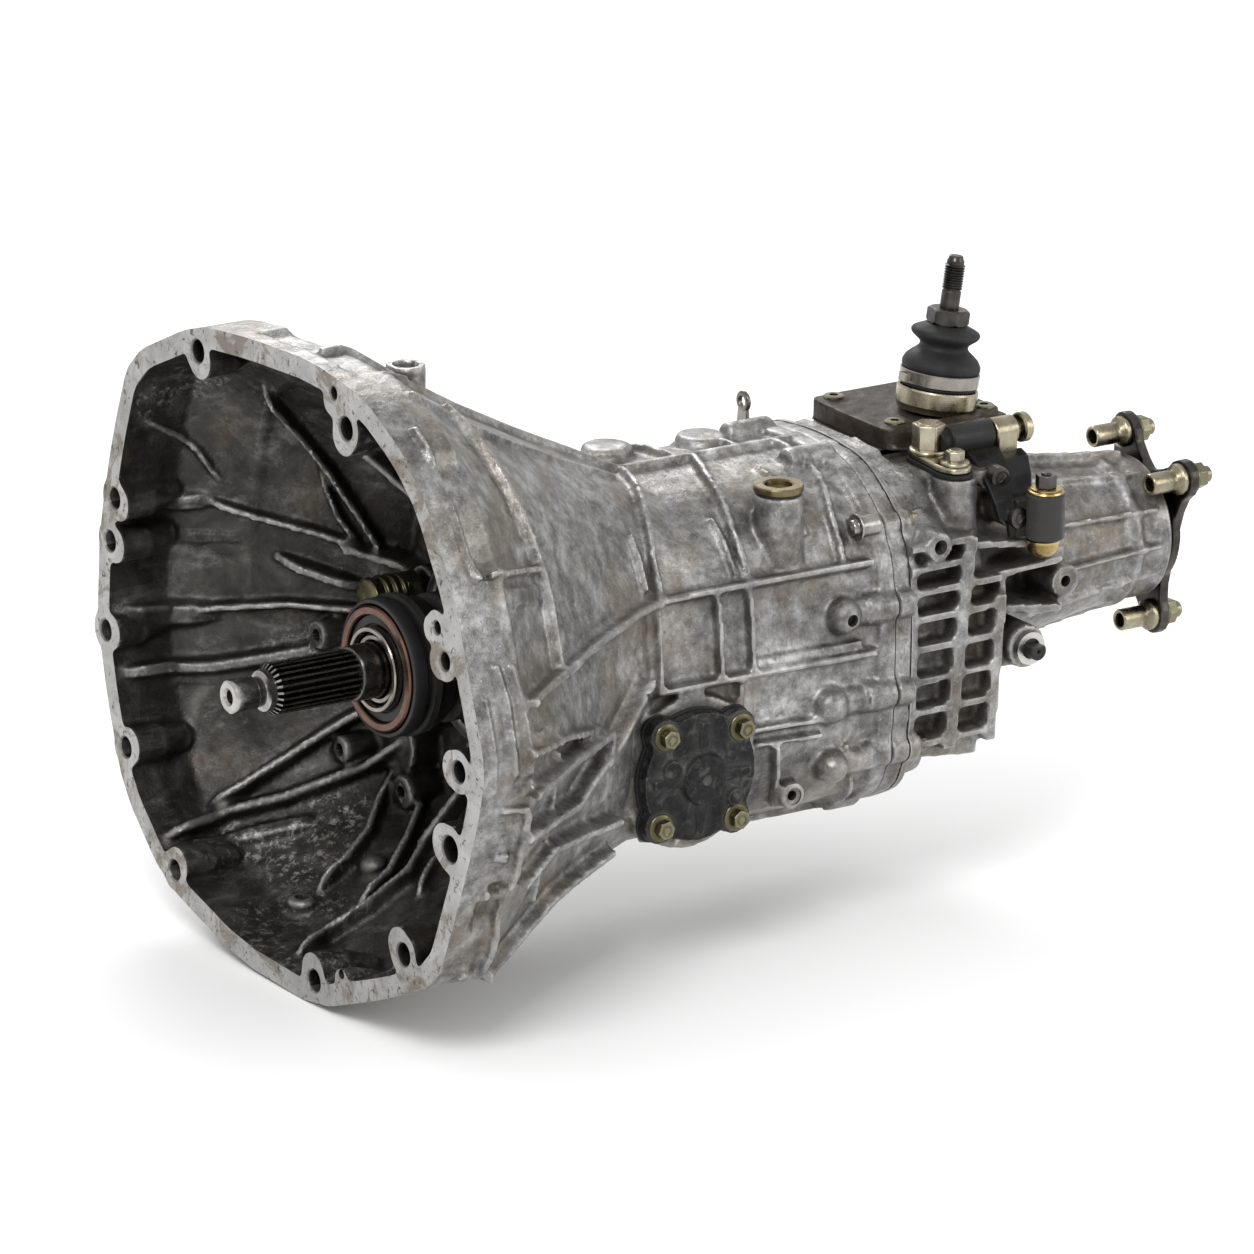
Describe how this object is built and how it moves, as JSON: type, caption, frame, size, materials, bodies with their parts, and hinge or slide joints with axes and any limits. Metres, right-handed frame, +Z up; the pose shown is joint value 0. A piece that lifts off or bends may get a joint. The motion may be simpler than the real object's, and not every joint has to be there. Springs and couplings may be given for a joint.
{
  "type": "manual transmission",
  "caption": "Longitudinal manual gearbox with an open clutch bell, ribbed aluminium case, gear lever turret and rear output flange.",
  "frame": {"origin": "middle of the footprint at the lowest point of the case", "axes": "+X along the shafts from the clutch bell to the output flange, +Z up, +Y to the far side from the side cover"},
  "size_m": [0.659, 0.411, 0.376],
  "materials": {
    "cast_aluminium": "as-cast, slightly stained",
    "dark_iron": "dark, oily cast iron",
    "zinc_plated": "yellow zinc plate, dulled",
    "bright_steel": "machined steel",
    "dark_steel": "oiled dark steel",
    "black_rubber": "matt black rubber",
    "black_paint": "satin black paint",
    "brass": "tarnished brass",
    "bronze": "dark copper brown"
  },
  "bodies": {
    "case": {"front_case": "cast_aluminium", "adapter_plate": "cast_aluminium", "rear_extension": "cast_aluminium", "control_cover": "dark_iron", "turret_collar": "zinc_plated", "boot_clamp_band": "bright_steel", "gear_lever_boot": "black_rubber", "bearing_retainer": "bright_steel", "slave_cylinder": "black_paint", "hydraulic_union": "zinc_plated", "input_bearing": "bright_steel", "main_bearing": "bright_steel", "tail_bearing": "bright_steel", "rear_oil_seal": "black_rubber", "countershaft_front_bearing": "bright_steel", "countershaft_rear_bearing": "bright_steel", "side_cover": "black_paint", "side_cover_bolt_1": "zinc_plated", "side_cover_bolt_2": "zinc_plated", "side_cover_bolt_3": "zinc_plated", "side_cover_bolt_4": "zinc_plated", "filler_bush": "brass", "drain_plug": "zinc_plated", "gate_retainer_plate": "zinc_plated", "return_spring_housing": "dark_steel", "steady_bracket": "black_paint", "idler_shaft": "bright_steel"},
    "input": {"input_shaft": "bright_steel"},
    "countershaft": {"countershaft": "bright_steel"},
    "first_gear": {"first_gear": "bright_steel"},
    "second_gear": {"second_gear": "bright_steel"},
    "third_gear": {"third_gear": "bright_steel"},
    "fifth_gear": {"fifth_gear": "bright_steel"},
    "reverse_gear": {"reverse_gear": "bright_steel"},
    "idler": {"idler_gear": "bright_steel"},
    "output": {"mainshaft": "bright_steel", "synchro_hub_1_2": "bright_steel", "synchro_hub_3_4": "bright_steel", "synchro_hub_5_r": "bright_steel", "speedo_worm": "bronze", "output_flange": "dark_steel", "flange_nut": "bright_steel", "flange_bolt_1": "zinc_plated", "flange_bolt_2": "zinc_plated", "flange_bolt_3": "zinc_plated", "flange_bolt_4": "zinc_plated"},
    "sleeve_1_2": {"synchro_sleeve_1_2": "dark_steel"},
    "sleeve_3_4": {"synchro_sleeve_3_4": "dark_steel"},
    "sleeve_5_r": {"synchro_sleeve_5_r": "dark_steel"},
    "fork_1_2": {"shift_fork_1_2": "dark_steel"},
    "fork_3_4": {"shift_fork_3_4": "bronze"},
    "fork_5_r": {"shift_fork_5_r": "dark_steel"},
    "release_carrier": {"release_bearing": "dark_steel"},
    "release_race": {"release_ring": "bronze"},
    "speedo": {"speedo_pinion": "black_paint"},
    "lever_gimbal": {"pivot_ball": "bright_steel"},
    "lever": {"shift_lever": "dark_steel", "lever_nut": "dark_steel", "boot_lip": "black_rubber"}
  },
  "joints": [
    {"name": "input_spin", "type": "hinge", "parent": "case", "child": "input", "pos_m": [-0.0925, -0.0005, 0.18], "axis": [1, 0, 0], "continuous": true},
    {"name": "countershaft_spin", "type": "hinge", "parent": "case", "child": "countershaft", "pos_m": [-0.0925, -0.0005, 0.1175], "axis": [1, 0, 0], "continuous": true},
    {"name": "first_gear_spin", "type": "hinge", "parent": "case", "child": "first_gear", "pos_m": [-0.0925, -0.0005, 0.18], "axis": [1, 0, 0], "continuous": true},
    {"name": "second_gear_spin", "type": "hinge", "parent": "case", "child": "second_gear", "pos_m": [-0.0925, -0.0005, 0.18], "axis": [1, 0, 0], "continuous": true},
    {"name": "third_gear_spin", "type": "hinge", "parent": "case", "child": "third_gear", "pos_m": [-0.0925, -0.0005, 0.18], "axis": [1, 0, 0], "continuous": true},
    {"name": "fifth_gear_spin", "type": "hinge", "parent": "case", "child": "fifth_gear", "pos_m": [-0.0925, -0.0005, 0.18], "axis": [1, 0, 0], "continuous": true},
    {"name": "reverse_gear_spin", "type": "hinge", "parent": "case", "child": "reverse_gear", "pos_m": [-0.0925, -0.0005, 0.18], "axis": [1, 0, 0], "continuous": true},
    {"name": "idler_spin", "type": "hinge", "parent": "case", "child": "idler", "pos_m": [0.0845, 0.03475, 0.13029], "axis": [1, 0, 0], "continuous": true},
    {"name": "output_spin", "type": "hinge", "parent": "case", "child": "output", "pos_m": [-0.0925, -0.0005, 0.18], "axis": [1, 0, 0], "continuous": true},
    {"name": "shift_select", "type": "hinge", "parent": "case", "child": "lever_gimbal", "pos_m": [0.15406, -0.0005, 0.27726], "axis": [1, 0, 0], "range_deg": [-6, 6], "stiffness_Nm_per_rad": 2},
    {"name": "shift_throw", "type": "hinge", "parent": "lever_gimbal", "child": "lever", "pos_m": [0.15406, -0.0005, 0.27726], "axis": [0, 1, 0], "range_deg": [-13, 13]},
    {"name": "fork_3_4_slide", "type": "slide", "parent": "case", "child": "fork_3_4", "axis": [1, 0, 0], "range_m": [-0.008, 0.008]},
    {"name": "fork_1_2_slide", "type": "slide", "parent": "case", "child": "fork_1_2", "axis": [1, 0, 0], "range_m": [-0.008, 0.008]},
    {"name": "fork_5_r_slide", "type": "slide", "parent": "case", "child": "fork_5_r", "axis": [1, 0, 0], "range_m": [-0.008, 0.008]},
    {"name": "sleeve_3_4_slide", "type": "slide", "parent": "output", "child": "sleeve_3_4", "axis": [1, 0, 0], "range_m": [-0.008, 0.008]},
    {"name": "sleeve_1_2_slide", "type": "slide", "parent": "output", "child": "sleeve_1_2", "axis": [1, 0, 0], "range_m": [-0.008, 0.008]},
    {"name": "sleeve_5_r_slide", "type": "slide", "parent": "output", "child": "sleeve_5_r", "axis": [1, 0, 0], "range_m": [-0.008, 0.008]},
    {"name": "release_slide", "type": "slide", "parent": "case", "child": "release_carrier", "axis": [-1, 0, 0], "range_m": [0, 0.01]},
    {"name": "release_race_spin", "type": "hinge", "parent": "release_carrier", "child": "release_race", "pos_m": [-0.2285, -0.0005, 0.18], "axis": [1, 0, 0], "continuous": true},
    {"name": "speedo_spin", "type": "hinge", "parent": "case", "child": "speedo", "pos_m": [0.1535, -0.0505, 0.1545], "axis": [0, 1, 0], "continuous": true}
  ],
  "couplings": [
    {"joint": "countershaft_spin", "follows": "input_spin", "ratio": -0.6},
    {"joint": "third_gear_spin", "follows": "input_spin", "ratio": 0.73333},
    {"joint": "second_gear_spin", "follows": "input_spin", "ratio": 0.49091},
    {"joint": "first_gear_spin", "follows": "input_spin", "ratio": 0.28889},
    {"joint": "fifth_gear_spin", "follows": "input_spin", "ratio": 1.1143},
    {"joint": "idler_spin", "follows": "input_spin", "ratio": 0.42857},
    {"joint": "reverse_gear_spin", "follows": "input_spin", "ratio": -0.24},
    {"joint": "fork_3_4_slide", "follows": "shift_throw", "m_per_rad": -0.0342},
    {"joint": "sleeve_3_4_slide", "follows": "shift_throw", "m_per_rad": -0.0342},
    {"joint": "sleeve_1_2_slide", "follows": "fork_1_2_slide", "ratio": 1},
    {"joint": "sleeve_5_r_slide", "follows": "fork_5_r_slide", "ratio": 1},
    {"joint": "speedo_spin", "follows": "output_spin", "ratio": 0.4}
  ]
}
